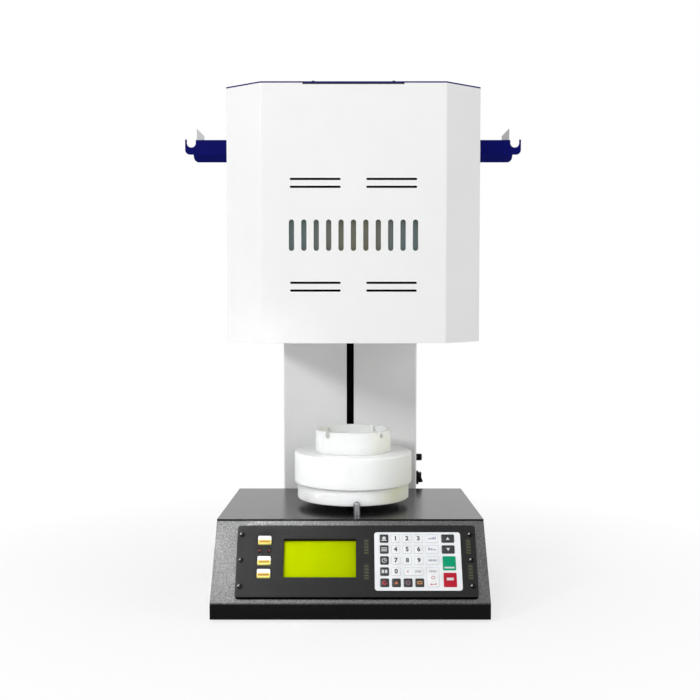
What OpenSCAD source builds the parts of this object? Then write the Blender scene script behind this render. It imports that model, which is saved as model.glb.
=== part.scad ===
// Bench furnace for sintering dental ceramics, in millimetres.
// The hearth is lifted on a screw from below into the heated chamber of the head.
// Origin: on the table, under the middle of the whole furnace. The front faces -Y, +Z is up.

/* [Base] */
// Width of the base across its front lip
base_w = 400; // [370:1:430]
// Depth of the base from its lip to the column
base_d = 336; // [325:1:360]
// Height of the base top above the table
base_h = 133; // [120:1:150]
// How far each side of the base runs in from the lip to the column
base_taper = 13.4; // [0:0.2:20]
// Height of the upright front lip
lip_h = 23; // [18:1:30]
// Depth from the lip to the top edge of the sloped front
slope_run = 75; // [65:1:85]
// Height of the upright brow between the slope and the top of the base
brow_h = 2.6; // [2:0.1:5]
// Outer radius of the bends in the folded sheet
bend_r = 7; // [3:0.5:8]
// Thickness of the folded sheet of base, column and head
sheet_t = 1.5; // [1.2:0.1:2]
// Thickness of the steel bottom plate
plate_t = 3; // [2:0.5:4]
// How far the base and column stand to the left of the chamber axis
stand_x = -4.5; // [-10:0.5:0]
// Height of the rubber feet
foot_h = 4; // [3:0.5:8]
// Diameter of the rubber feet
foot_dia = 26; // [20:1:32]

/* [Column] */
// Width of the column
column_w = 224; // [210:1:250]
// Depth of the column
column_d = 114; // [110:1:130]
// How far the column top lies under the head top
column_drop = 40; // [20:1:80]
// Width of the slot that the lift arm travels in
slot_w = 12.2; // [11:0.2:16]
// Diameter of the two guide rods
rod_dia = 12; // [10:1:14]
// Spacing of the two guide rods
rod_pitch = 90; // [84:1:100]
// Diameter of the lead screw
screw_dia = 12; // [10:1:14]
// Diameter of the cable hole through the gland
gland_bore = 9; // [6:0.5:10]

/* [Hearth] */
// Depth from the axis of hearth and chamber back to the column
hearth_setback = 134; // [130:1:145]
// Space between the base top and the hearth
hearth_gap = 11; // [11:1:20]
// Diameter of the lower hearth disc
disc_dia = 175; // [160:1:180]
// Height of the lower hearth disc
disc_h = 24; // [18:1:30]
// Diameter of the hearth plug that closes the chamber
plug_dia = 184.4; // [178:0.2:190]
// Height of the hearth plug
plug_h = 48.6; // [40:0.2:56]
// Outer diameter of the firing tray
tray_dia = 118; // [100:1:120]
// Height of the firing tray
tray_h = 34.8; // [25:0.2:40]
// Wall of the firing tray
tray_wall = 7; // [5:0.5:9]
// Width of the four notches in the rim of the tray
notch_w = 8; // [6:0.5:12]
// Depth of the four notches in the rim of the tray
notch_h = 10; // [8:0.5:16]
// Travel of the hearth lift
lift_travel = 228.6; // [215:0.2:240]
// Diameter of the steel pin in front of the hearth
pin_dia = 9.8; // [8:0.2:10]
// Height of the steel pin in front of the hearth
pin_h = 20; // [14:0.5:22]

/* [Head] */
// Width of the head
head_w = 367; // [350:1:390]
// Width of the flat front face of the head, between its two chamfers
head_face_w = 261; // [240:1:280]
// Height of the white shell of the head
head_h = 364.6; // [350:0.2:380]
// Depth from the base lip back to the front face of the head
head_back_off = 18; // [10:1:25]
// Thickness of the plates above and below the head
cap_t = 2; // [1.5:0.5:3]
// Length of one vent slot
vent_l = 71.5; // [50:0.5:78]
// Height of one vent slot
vent_h = 3.2; // [2.5:0.1:5]
// Spacing between the two slots of a pair
vent_pitch = 11; // [8:0.5:14]
// Number of upright slots in the middle of the face
grille_n = 11; // [7:1:13]
// Width of one upright slot
grille_w = 7.4; // [4:0.2:9]
// Height of one upright slot
grille_h = 44; // [30:1:56]
// Radius of the heated chamber
chamber_r = 76; // [75:0.5:78]
// Wall of the insulation around the chamber
insulation_wall = 52; // [45:0.5:53]
// Height of the heated chamber above the plug seat
chamber_h = 112; // [108:1:120]
// Thickness of the insulation over the chamber
lid_h = 80; // [60:1:90]
// Radius of the circle that the heating elements hang on
element_ring_r = 66; // [65:0.5:67]
// Diameter of the heating element rod
element_dia = 6; // [5:0.5:6]

/* [Side hooks] */
// Span over both hooks
hook_span = 543; // [520:1:560]
// Height of the arm's top edge below the head top
hook_drop = 50.2; // [40:0.2:70]
// Height of the upright part of the arm
hook_h = 23.5; // [20:0.5:28]
// Diameter of the round notch at the arm's end
hook_notch = 14.4; // [10:0.2:15]
// Thickness of the hook plate
hook_t = 2; // [1.5:0.5:3]
// Depth from the hook plate back to the rear of the head
hook_setback = 60; // [56:1:70]

/* [Control panel] */
// Width of the control panel
panel_w = 347.8; // [345:0.2:355]
// Height of the control panel along the slope
panel_h = 112.5; // [106:0.1:114]
// Thickness of the control panel
panel_t = 3; // [2:0.5:4]
// How far the panel sits to the right of the middle of the base
panel_x = 9; // [-9:0.5:9]
// Width of the display opening
display_w = 105.5; // [95:0.5:110]
// Height of the display opening
display_h = 58.6; // [50:0.1:64]
// How deep the display glass lies under the panel face
display_sunk = 6; // [5:0.5:8]
// Width of the keypad
keypad_w = 125.6; // [123:0.2:130]
// Height of the keypad
keypad_h = 89.8; // [86:0.2:94]
// Width of one key
key_w = 12.8; // [10:0.2:14]
// Height of one key
key_h = 13; // [10:0.2:14]
// Width of the three push buttons
button_w = 18.9; // [14:0.1:20]
// Height of the three push buttons
button_h = 12.9; // [10:0.1:15]
// Travel of the push buttons
button_travel = 1.5; // [1:0.1:1.8]

/* [Power] */
// Height of the power switch bezel
switch_h = 22; // [19:0.5:24]
// Width of the power switch bezel
switch_w = 15; // [13:0.5:18]
// Angle between the two states of the rocker
rocker_swing = 20; // [12:1:24]
// Diameter of the fuse cap
fuse_dia = 12; // [10:0.5:14]

/* [Hidden] */
$fn = 64;

// Clearances
touch_gap = 0.3;
run_gap = 0.1;
fit_gap = 0.05;
hole_gap = 0.15;

// Main levels, from the table up
lip_top = foot_h + lip_h;
plate_top = foot_h + plate_t;
disc_z = base_h + hearth_gap;
plug_z = disc_z + disc_h;
tray_z = plug_z + plug_h;
head_z = plug_z + lift_travel;
head_top = head_z + head_h;
column_top = head_top - column_drop;

// Depths: d counts from the front lip backwards, y_at turns it into Y
gland_out = 20;
total_d = base_d + column_d + gland_out;
function y_at(d) = d - total_d / 2;
column_front = base_d;
column_rear = base_d + column_d;
chamfer = (head_w - head_face_w) / 2;
head_rear = base_d;
hearth_depth = base_d - hearth_setback;

// Sloped front of the base
slope_rise = base_h - brow_h - lip_top;
slope_len = norm([slope_run, slope_rise]);
slope_a = atan2(slope_rise, slope_run);
panel_drop = 0.9;

module on_stand() translate([stand_x, 0, 0]) children();
module on_axis() translate([0, y_at(hearth_depth), 0]) children();
module on_slope() translate([stand_x, y_at(0), lip_top]) rotate([slope_a, 0, 0]) children();
module on_panel() on_slope() translate([panel_x, slope_len / 2 - panel_drop, 0]) children();

// Rounded corners of a polygon: each corner b between a and c becomes an arc
function unit(v) = v / norm(v);
function turn(a) = a > 180 ? a - 360 : a < -180 ? a + 360 : a;
function corner_arc(a, b, c, r, n) =
    let (u = unit(a - b), v = unit(c - b), half = acos(u * v) / 2)
    let (centre = b + unit(u + v) * r / sin(half))
    let (p = b + u * r / tan(half) - centre, q = b + v * r / tan(half) - centre)
    let (start = atan2(p[1], p[0]), sweep = turn(atan2(q[1], q[0]) - start))
    [for (i = [0:n]) centre + r * [cos(start + sweep * i / n), sin(start + sweep * i / n)]];
function rounded(pts, radii, n = 6) =
    let (m = len(pts))
    [for (i = [0:m - 1]) each radii[i] > 0
        ? corner_arc(pts[(i + m - 1) % m], pts[i], pts[(i + 1) % m], radii[i], n)
        : [pts[i]]];
function box_pts(w, h) = [[-w / 2, -h / 2], [w / 2, -h / 2], [w / 2, h / 2], [-w / 2, h / 2]];
module rounded_box(w, h, r, t, n = 4)
    linear_extrude(t) polygon(rounded(box_pts(w, h), [r, r, r, r], n));

// Inset of a polygon that runs anticlockwise, by t on every side
function side_n(a, b) = unit([b[1] - a[1], a[0] - b[0]]);
function inset_pt(a, b, c, t) =
    let (p = side_n(a, b), q = side_n(b, c)) b - t * (p + q) / (1 + p * q);
function inset(pts, t) =
    let (m = len(pts))
    [for (i = [0:m - 1]) inset_pt(pts[(i + m - 1) % m], pts[i], pts[(i + 1) % m], t)];

// A slot with round ends, lying along X, cut along Z
module round_slot(l, w, t) {
    translate([-(l - w) / 2, -w / 2, 0]) cube([l - w, w, t]);
    for (side = [-1, 1])
        translate([side * (l - w) / 2, 0, 0]) cylinder(d = w, h = t);
}

// Base

brow_r = 1.2;
function base_half(d) = base_w / 2 - base_taper * d / base_d;
function base_plan(t) = inset([[-base_half(0), y_at(0)], [base_half(0), y_at(0)],
    [base_half(base_d), y_at(base_d)], [-base_half(base_d), y_at(base_d)]], t);
function base_profile(t) =
    let (low = foot_h - (t > 0 ? 1 + t : 0), r = bend_r - t)
    let (pts = inset([[y_at(0), low], [y_at(base_d), low], [y_at(base_d), base_h],
        [y_at(slope_run), base_h], [y_at(slope_run), base_h - brow_h], [y_at(0), lip_top]], t))
    rounded(pts, [0, 0, r, t > 0 ? 0 : brow_r, 0, r]);

module base_block(t) intersection() {
    translate([-base_w / 2, 0, 0]) rotate([90, 0, 90]) linear_extrude(base_w)
        polygon(base_profile(t));
    linear_extrude(base_h + 1) polygon(base_plan(t));
}

// Folded sheet cover, open below; its back wall is cut away over the neck of the bottom plate
module base_cover() color([0.13, 0.13, 0.135]) difference() {
    on_stand() difference() {
        base_block(0);
        base_block(sheet_t);
    }
    on_panel() translate([-panel_cut_w / 2, -panel_cut_h / 2, -sheet_t - 1])
        cube([panel_cut_w, panel_cut_h, sheet_t + 2]);
    on_panel() panel_screw_places() translate([0, 0, -sheet_t - 1])
        cylinder(r = screw4_r + hole_gap, h = sheet_t + 2);
    on_stand() translate([-column_w / 2 - touch_gap, y_at(base_d) - sheet_t - 1, 0])
        cube([column_w + 2 * touch_gap, sheet_t + 2, plate_top]);
    on_stand() translate([pin_x - stand_x, y_at(pin_depth), base_h - sheet_t - 1])
        cylinder(r = pin_stud_r + hole_gap, h = sheet_t + 2);
}

// Flat steel plate under base and column
module bottom_plate() color([0.2, 0.2, 0.21]) on_stand() translate([0, 0, foot_h]) {
    plan = inset(base_plan(0), sheet_t + touch_gap);
    neck = column_w / 2;
    difference() {
        linear_extrude(plate_t) polygon([plan[0], plan[1], plan[2],
            [neck, plan[2][1]], [neck, y_at(column_rear)],
            [-neck, y_at(column_rear)], [-neck, plan[3][1]], plan[3]]);
        foot_places() translate([0, 0, -1]) cylinder(r = foot_screw_r + hole_gap, h = plate_t + 2);
    }
}

foot_in = 36;
foot_screw_r = 2.5;
module foot_places() {
    for (side = [-1, 1]) {
        translate([side * (base_half(foot_in) - foot_in), y_at(foot_in), 0]) children();
        translate([side * (column_w / 2 - foot_in / 2), y_at(column_rear - foot_in / 2 - 8), 0])
            children();
    }
}

// Moulded rubber foot: a flared pad with a rib that plugs into the plate
module rubber_feet() color([0.08, 0.08, 0.08]) on_stand() foot_places() rotate_extrude()
    polygon([[0, 0], [foot_dia / 2 - 1.2, 0], [foot_dia / 2 - 0.4, 0.6], [foot_dia / 2 - 1.6, foot_h],
        [foot_screw_r, foot_h], [foot_screw_r, foot_h + plate_t + 1], [0, foot_h + plate_t + 1]]);

// Round steel pin that stands close in front of the hearth disc
pin_gap = 0.9;
pin_x = 5.3;
pin_stud_r = 2.5;
pin_depth = hearth_depth - sqrt(pow(disc_dia / 2 + pin_gap + pin_dia / 2, 2) - pin_x * pin_x);
module stop_pin() color([0.72, 0.73, 0.75]) translate([pin_x, y_at(pin_depth), 0]) {
    pin_r = pin_dia / 2;
    dome = pin_r - 1;
    translate([0, 0, base_h]) cylinder(r = pin_r, h = pin_h - dome);
    translate([0, 0, base_h + pin_h - dome]) intersection() {
        cylinder(r = pin_r, h = dome);
        translate([0, 0, dome - pin_r]) sphere(r = pin_r);
    }
    translate([0, 0, base_h - sheet_t - 2]) cylinder(r = pin_stud_r, h = sheet_t + 2);
}

// Control panel on the slope

panel_cut_w = panel_w - 30;
panel_cut_h = panel_h - 12;
screw_row = 39.8;
screw_off = 1.7;
screw_edge = 7;
screw4_r = 2;
display_at = [-53.3, 5];
keypad_at = [88.9, 0.2];
button_x = -133.8;
button_rows = [32.2, 0.6, -19.1];
led_at = [-134, 16.6];
led_pitch = 13.6;
led_r = 2.5;

module panel_screw_places()
    for (side = [-1, 1], row = [-1, 0, 1])
        translate([side * (panel_w / 2 - screw_edge), screw_off + row * screw_row, 0]) children();

module control_panel() color([0.2, 0.2, 0.205]) on_panel() difference() {
    rounded_box(panel_w, panel_h, 5, panel_t);
    translate([display_at[0], display_at[1], -1]) rounded_box(display_w, display_h, 1, panel_t + 2);
    for (row = button_rows)
        translate([button_x, row, -1])
            rounded_box(button_w + 2 * touch_gap, button_h + 2 * touch_gap, 1.6, panel_t + 2);
    for (side = [-0.5, 0.5])
        translate([led_at[0] + side * led_pitch, led_at[1], -1])
            cylinder(r = led_r + hole_gap, h = panel_t + 2);
    panel_screw_places() translate([0, 0, -1]) cylinder(r = screw4_r + hole_gap, h = panel_t + 2);
}

// Button head screw with a hex socket, its seat at z = 0
module button_screw(r, shank_r, shank_l, head_h) {
    difference() {
        intersection() {
            cylinder(r = r, h = head_h);
            translate([0, 0, head_h - r * 1.15]) sphere(r = r * 1.15);
        }
        translate([0, 0, head_h / 2]) cylinder(r = r * 0.42, h = head_h, $fn = 6);
    }
    translate([0, 0, -shank_l]) cylinder(r = shank_r, h = shank_l);
}

module panel_screws() color([0.1, 0.1, 0.1]) on_panel() panel_screw_places()
    translate([0, 0, panel_t]) button_screw(3.8, screw4_r, panel_t + sheet_t + 2, 2.2);

// Display: a metal frame on a circuit board, hung behind the panel opening
frame_wall = 4;
glass_t = 2;
module_floor = 1;
board_t = 1.6;
display_back = display_sunk - panel_t + glass_t + module_floor;
module display_module() color([0.09, 0.09, 0.09]) on_panel()
    translate([display_at[0], display_at[1], 0]) {
    difference() {
        translate([0, 0, -display_back])
            rounded_box(display_w + 2 * frame_wall, display_h + 2 * frame_wall, 2, display_back);
        translate([-display_w / 2, -display_h / 2, -display_back + module_floor])
            cube([display_w, display_h, display_back]);
    }
    translate([0, 0, -display_back - board_t])
        rounded_box(display_w + 4 * frame_wall, display_h + 4 * frame_wall, 1, board_t);
}

module display_glass() color([0.72, 0.82, 0.05]) on_panel()
    translate([display_at[0], display_at[1], 0]) {
    translate([0, 0, module_floor - display_back])
        rounded_box(display_w - 2 * touch_gap, display_h - 2 * touch_gap, 0.5, glass_t);
}

// Keypad: one printed film with keys embossed on it
film_t = 0.6;
emboss = 0.7;
key_pitch = [16.7, 17];
key_start = [-48.6, 34.8];
wide_w = 18.8;
tall_h = 21.6;
function key_at(col, row) = [key_start[0] + col * key_pitch[0], key_start[1] - row * key_pitch[1]];
word_x = 21;
side_x = 44.4;
single_keys = [for (row = [0:4], col = [0:3]) if (!(row == 3 && col > 1))
    concat(key_at(col, row), [key_w, key_h])];
word_keys = [for (row = [0:2]) [word_x, key_at(0, row)[1], wide_w, key_h]];
side_keys = [for (row = [0:1]) [side_x, key_at(0, row)[1], wide_w, key_h]];
erase_key = [key_start[0] + 2.5 * key_pitch[0], key_at(0, 3)[1], key_pitch[0] + key_w - 2, key_h];
enter_key = [word_x, (key_at(0, 3)[1] + key_at(0, 4)[1]) / 2, wide_w - 1, key_pitch[1] + key_h];
start_key = [side_x + 0.7, -3.5, wide_w, tall_h];
stop_key = [side_x + 1, -28.9, wide_w, tall_h];
all_keys = concat(single_keys, word_keys, side_keys, [erase_key, enter_key, start_key, stop_key]);

module on_keypad() on_panel() translate([keypad_at[0], keypad_at[1], panel_t]) children();
module keypad_film() color([0.93, 0.94, 0.95]) on_keypad()
    rounded_box(keypad_w, keypad_h, 4, film_t);
module keypad_keys() color([0.16, 0.17, 0.18]) on_keypad()
    for (key = all_keys)
        translate([key[0], key[1], film_t]) rounded_box(key[2], key[3], 1.5, emboss, 3);

// Three push buttons; each has a flange behind the panel and a stem over its switch
button_proud = 3;
button_flange = 1.6;
button_foot = 1.8;
module push_button(row) color([0.93, 0.93, 0.92]) on_panel()
    translate([button_x, button_rows[row], -touch_gap]) {
    rounded_box(button_w, button_h, 1.5, panel_t + button_proud + touch_gap);
    translate([0, 0, -1]) rounded_box(button_w + button_flange, button_h + button_flange, 1.5, 1);
    translate([0, 0, -button_foot]) cylinder(r = 2, h = button_foot - 1);
}
module button_top() push_button(0);
module button_middle() push_button(1);
module button_low() push_button(2);

// Board behind the buttons, held off the panel by four posts
button_board_low = 9;
button_board_w = 30;
button_board_h = 82;
button_board_y = 8;
post_r = 2.2;
post_in_x = 2.8;
post_in_y = 3;
key_switch_w = 6;
module button_board() color([0.1, 0.35, 0.16]) on_panel()
    translate([button_x, button_board_y, -button_board_low]) {
    rounded_box(button_board_w, button_board_h, 1, board_t);
    for (x = [-1, 1], y = [-1, 1])
        translate([x * (button_board_w / 2 - post_in_x), y * (button_board_h / 2 - post_in_y), board_t])
            cylinder(r = post_r, h = button_board_low - board_t);
    switch_rise = button_board_low - board_t - touch_gap - button_foot - button_travel - 0.4;
    for (row = button_rows)
        translate([-key_switch_w / 2, row - button_board_y - key_switch_w / 2, board_t])
            cube([key_switch_w, key_switch_w, switch_rise]);
}

module indicator_leds() color([0.8, 0.05, 0.05]) on_panel()
    for (side = [-0.5, 0.5])
        translate([led_at[0] + side * led_pitch, led_at[1], -button_board_low + board_t]) {
            stand = button_board_low - board_t + panel_t;
            cylinder(r = led_r, h = stand);
            translate([0, 0, stand]) intersection() {
                sphere(r = led_r);
                cylinder(r = led_r, h = led_r);
            }
        }

// Inside the base

board_at = [62, 150];
board_size = [150, 110];
board_screw_in = 6;
standoff_h = 8;
module board_corners()
    for (x = [-1, 1], y = [-1, 1])
        translate([board_at[0] + x * (board_size[0] / 2 - board_screw_in),
            y_at(board_at[1]) + y * (board_size[1] / 2 - board_screw_in), 0]) children();

module board_standoffs() color([0.8, 0.68, 0.3]) on_stand() board_corners()
    translate([0, 0, plate_top]) cylinder(r = 3, h = standoff_h, $fn = 6);

module control_board() color([0.08, 0.32, 0.15]) on_stand()
    translate([board_at[0], y_at(board_at[1]), plate_top + standoff_h]) {
    translate([0, 0, board_t / 2]) cube([board_size[0], board_size[1], board_t], center = true);
    translate([0, 0, board_t]) {
        translate([-60, -40, 0]) cube([24, 24, 4]);
        for (i = [0:2]) translate([-10 + i * 18, 30, 0]) cylinder(r = 6.5, h = 22);
        for (i = [0:3]) translate([30, -45 + i * 20, 0]) cube([28, 15, 14]);
        translate([-62, 10, 0]) cube([14, 34, 9]);
    }
}

trafo_at = [-92, 205];
core = [96, 46, 80];
leg_w = 16;
module transformer_core() color([0.25, 0.25, 0.27]) on_stand()
    translate([trafo_at[0], y_at(trafo_at[1]), plate_top]) difference() {
    translate([-core[0] / 2, -core[1] / 2, 0]) cube(core);
    for (side = [-1, 1])
        translate([side * core[0] / 4, 0, core[2] / 2])
            cube([core[0] / 2 - 1.5 * leg_w, core[1] + 2, core[2] - 2 * leg_w], center = true);
}

module transformer_coil() color([0.62, 0.3, 0.12]) on_stand()
    translate([trafo_at[0], y_at(trafo_at[1]), plate_top + core[2] / 2]) difference() {
    window = core[0] / 2 - 1.5 * leg_w;
    limb = core[0] / 2 - window;
    tall = core[2] - 2 * leg_w - 2 * touch_gap;
    cube([limb + 2 * window - 2 * touch_gap, core[1] + 2 * window, tall], center = true);
    cube([limb + 2 * touch_gap, core[1] + 2 * touch_gap, tall + 2], center = true);
}

// Column

switch_depth = base_d + 30;
switch_z = base_h + 12.7;
fuse_z = switch_z + 35.2;
slot_low = base_h + 1;
slot_high = plug_z + lift_travel - 0.6;
bolt_x = 85;
bolt_levels = [head_z + 60, column_top - 40];
bolt_r = 3;

module bolt_places()
    for (side = [-1, 1], z = bolt_levels)
        translate([stand_x + side * bolt_x, y_at(column_front), z]) rotate([-90, 0, 0]) children();

function u_plan(w, d0, d1, r) = rounded([[-w / 2, y_at(d0)], [w / 2, y_at(d0)],
    [w / 2, y_at(d1)], [-w / 2, y_at(d1)]], [r, r, 0, 0]);

// Front and both sides of the column, folded from one sheet
module column_cover() color([0.83, 0.84, 0.84]) difference() {
    on_stand() translate([0, 0, plate_top])
        linear_extrude(column_top - sheet_t - plate_top) difference() {
        polygon(u_plan(column_w, column_front, column_rear - sheet_t, 3));
        polygon(u_plan(column_w - 2 * sheet_t, column_front + sheet_t, column_rear + 1, 3 - sheet_t));
    }
    on_stand() translate([-slot_w / 2, y_at(column_front) - 1, slot_low])
        cube([slot_w, sheet_t + 2, slot_high - slot_low]);
    bolt_places() translate([0, 0, -1]) cylinder(r = bolt_r + hole_gap, h = sheet_t + 2);
    on_side(switch_z) rotate([0, 90, 0]) translate([0, 0, -sheet_t - 1])
        rounded_box(switch_h - 2.4, switch_w - 2.4, 1, sheet_t + 2);
    on_side(fuse_z) rotate([0, 90, 0]) translate([0, 0, -sheet_t - 1])
        cylinder(r = fuse_neck_r + hole_gap, h = sheet_t + 2);
}

// Places things on the outside of the right column wall
module on_side(z) translate([stand_x + column_w / 2, y_at(switch_depth), z]) children();

gland_z = 40;
gland_x = -60;
gland_r = 8;
back_vent_l = 60;
back_vent_w = 4;
back_vent_x = 45;
back_vent_pitch = 11;
back_vent_levels = [base_h + 98, column_top - 144];
module column_back() color([0.8, 0.81, 0.81]) on_stand() difference() {
    translate([-column_w / 2, y_at(column_rear) - sheet_t, plate_top])
        cube([column_w, sheet_t, column_top - sheet_t - plate_top]);
    translate([gland_x, y_at(column_rear) + 1, gland_z]) rotate([90, 0, 0])
        cylinder(r = gland_r + hole_gap, h = sheet_t + 2);
    for (side = [-1, 1], level = back_vent_levels, k = [-3:3])
        translate([side * back_vent_x, y_at(column_rear) + 1, level + k * back_vent_pitch])
            rotate([90, 0, 0]) round_slot(back_vent_l, back_vent_w, sheet_t + 2);
}

module column_cap() color([0.83, 0.84, 0.84]) on_stand()
    translate([-column_w / 2, y_at(column_front), column_top - sheet_t])
        cube([column_w, column_d, sheet_t]);

// Cable gland with a hexagon and a domed clamping nut; the cable hole goes right through
module cable_gland() color([0.07, 0.07, 0.07]) on_stand()
    translate([gland_x, y_at(column_rear), gland_z]) rotate([-90, 0, 0]) difference() {
    union() {
        translate([0, 0, -sheet_t]) cylinder(r = gland_r, h = sheet_t);
        cylinder(r = gland_r + 5, h = 6, $fn = 6);
        rotate_extrude() polygon([[0, 6], [gland_r + 2.5, 6], [gland_r + 2.5, gland_out - 6],
            [gland_r - 1, gland_out], [0, gland_out]]);
        translate([0, 0, -sheet_t - 5]) cylinder(r = gland_r + 4, h = 5, $fn = 6);
        translate([0, 0, -sheet_t - 9]) cylinder(r = gland_r, h = 4);
    }
    translate([0, 0, -sheet_t - 10]) cylinder(d = gland_bore, h = gland_out + sheet_t + 11);
}

// Power switch: a bezel with raised side cheeks, and a rocker that tips between them
bezel_t = 5;
rocker_seat = bezel_t - 2.4;
cheek_t = 1.8;
cheek_r = 5.4;
pivot_out = rocker_seat + 2.2;
pivot_r = 1.4;
rocker_w = switch_w - 2 * cheek_t - 2 * touch_gap;
rocker_h = switch_h - 4.9;
module power_switch() color([0.05, 0.05, 0.05]) on_side(switch_z) difference() {
    union() {
        rotate([0, 90, 0]) rounded_box(switch_h, switch_w, 1.5, bezel_t);
        translate([-16, 0, 0]) rotate([0, 90, 0]) rounded_box(switch_h - 2.7, switch_w - 2.7, 0.8, 16);
        for (side = [-1, 1])
            translate([rocker_seat, side * (switch_w - cheek_t) / 2, 0]) rotate([90, 0, 0]) intersection() {
                cylinder(r = cheek_r, h = cheek_t, center = true);
                translate([0, -10, -cheek_t]) cube([10, 20, 2 * cheek_t]);
            }
    }
    translate([rocker_seat - 7, -rocker_w / 2 - touch_gap, -rocker_h / 2 - 0.5])
        cube([20, rocker_w + 2 * touch_gap, rocker_h + 1]);
    translate([pivot_out, switch_w, 0]) rotate([90, 0, 0])
        cylinder(r = pivot_r + run_gap, h = 2 * switch_w);
}

// Rocker: a shallow V of two finger faces on a cross pin, drawn tipped to its lower end
module power_rocker() color([0.06, 0.06, 0.06]) on_side(switch_z)
    translate([pivot_out, 0, 0]) rotate([0, -rocker_swing / 2, 0]) {
    rotate([90, 0, 0]) translate([0, 0, -rocker_w / 2]) linear_extrude(rocker_w)
        polygon(rounded([[-3.4, -4], [4.2, -rocker_h / 2], [7, -rocker_h / 2 + 0.3], [5.2, 0],
            [7, rocker_h / 2 - 0.3], [4.2, rocker_h / 2], [-3.4, 4]],
            [0.5, 0.8, 0.8, 6, 0.8, 0.8, 0.5]));
    rotate([90, 0, 0]) cylinder(r = pivot_r, h = switch_w - 0.2, center = true);
}

// Fuse holder in the column side and its bayonet cap
fuse_neck_r = fuse_dia / 2 - 1;
fuse_rim = 2.6;
fuse_cap_l = 6.9;
fuse_tip_r = 2.6;
module fuse_holder() color([0.07, 0.07, 0.07]) on_side(fuse_z) rotate([0, 90, 0]) difference() {
    union() {
        cylinder(d = fuse_dia, h = fuse_rim);
        translate([0, 0, -26]) cylinder(r = fuse_neck_r, h = 26);
    }
    translate([0, 0, -22]) cylinder(r = fuse_tip_r + run_gap, h = 22 + fuse_rim + 1);
}
module fuse_cap() color([0.05, 0.05, 0.05]) on_side(fuse_z) rotate([0, 90, 0]) difference() {
    union() {
        translate([0, 0, fuse_rim + touch_gap]) cylinder(d = fuse_dia - 0.4, h = fuse_cap_l);
        translate([0, 0, fuse_rim + touch_gap + fuse_cap_l])
            cylinder(d1 = fuse_dia - 0.4, d2 = fuse_dia - 3, h = 1.2);
        translate([0, 0, -18]) cylinder(r = fuse_tip_r, h = 18 + fuse_rim + touch_gap + 1);
    }
    translate([-fuse_dia, -0.6, fuse_rim + touch_gap + fuse_cap_l - 0.2]) cube([2 * fuse_dia, 1.2, 3]);
}

// Lift drive inside the column

drive_depth = column_front + 56;
motor_w = 56.4;
motor_low = plate_top + 8;
motor_h = 56;
motor_boss_r = 19;
motor_plate_z = motor_low + motor_h;
motor_plate_t = 5;
low_plate_z = motor_plate_z + 33;
screw_plate_t = 10;
arm_low = base_h + 2;
arm_t = 6;
carriage_z = arm_low - 6;
carriage_h = 46;
high_plate_z = carriage_z + carriage_h + lift_travel + 24;
bearing_r = 14;
shaft_r = 3.2;
journal_r = screw_dia / 2 - 2;
coupling_r = 10;
nut_r = screw_dia / 2 + 5;
bushing_r = rod_dia / 2 + 4.5;
plate_side = column_w - 2 * sheet_t - 2 * touch_gap;
plate_front = column_front + sheet_t + 6;
plate_depth = 96;

module on_drive(z) translate([stand_x, y_at(drive_depth), z]) children();
module rod_places() for (side = [-1, 1]) translate([side * rod_pitch / 2, 0, 0]) children();
module cross_plate(t) translate([-plate_side / 2, y_at(plate_front) - y_at(drive_depth), 0])
    cube([plate_side, plate_depth, t]);

module motor_plate() color([0.6, 0.61, 0.63]) on_drive(motor_plate_z) difference() {
    cross_plate(motor_plate_t);
    translate([0, 0, -1]) cylinder(r = motor_boss_r + hole_gap, h = motor_plate_t + 2);
}

module lift_motor() color([0.12, 0.12, 0.13]) on_drive(motor_low) difference() {
    union() {
        intersection() {
            translate([-motor_w / 2, -motor_w / 2, 0]) cube([motor_w, motor_w, motor_h]);
            cylinder(r = motor_w * 0.66, h = motor_h);
        }
        translate([0, 0, motor_h]) cylinder(r = motor_boss_r, h = 1.6);
    }
    translate([0, 0, motor_h - 14]) cylinder(r = shaft_r + run_gap, h = 20);
}

module screw_plates() color([0.62, 0.63, 0.65])
    for (z = [low_plate_z, high_plate_z])
        on_drive(z) difference() {
            cross_plate(screw_plate_t);
            translate([0, 0, -1]) cylinder(r = bearing_r + fit_gap, h = screw_plate_t + 2);
            rod_places() translate([0, 0, -1]) cylinder(r = rod_dia / 2 + fit_gap, h = screw_plate_t + 2);
        }

module screw_bearings() color([0.75, 0.76, 0.78])
    for (z = [low_plate_z, high_plate_z])
        on_drive(z) difference() {
            cylinder(r = bearing_r, h = screw_plate_t);
            translate([0, 0, -1]) cylinder(r = journal_r + 0.06, h = screw_plate_t + 2);
        }

module guide_rods() color([0.8, 0.81, 0.83]) on_drive(low_plate_z) rod_places()
    cylinder(d = rod_dia, h = high_plate_z + screw_plate_t - low_plate_z);

switch_body = [20, 10, 8];
switch_out = 56;
module limit_switches() color([0.1, 0.1, 0.1])
    for (z = [low_plate_z + screw_plate_t, high_plate_z - switch_body[2]])
        on_drive(z) translate([-switch_out - switch_body[0], -switch_body[1] / 2, 0]) {
            cube(switch_body);
            translate([3, 2, z < high_plate_z - 50 ? switch_body[2] : -1.5]) cube([2.5, 6, 1.5]);
        }

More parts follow.
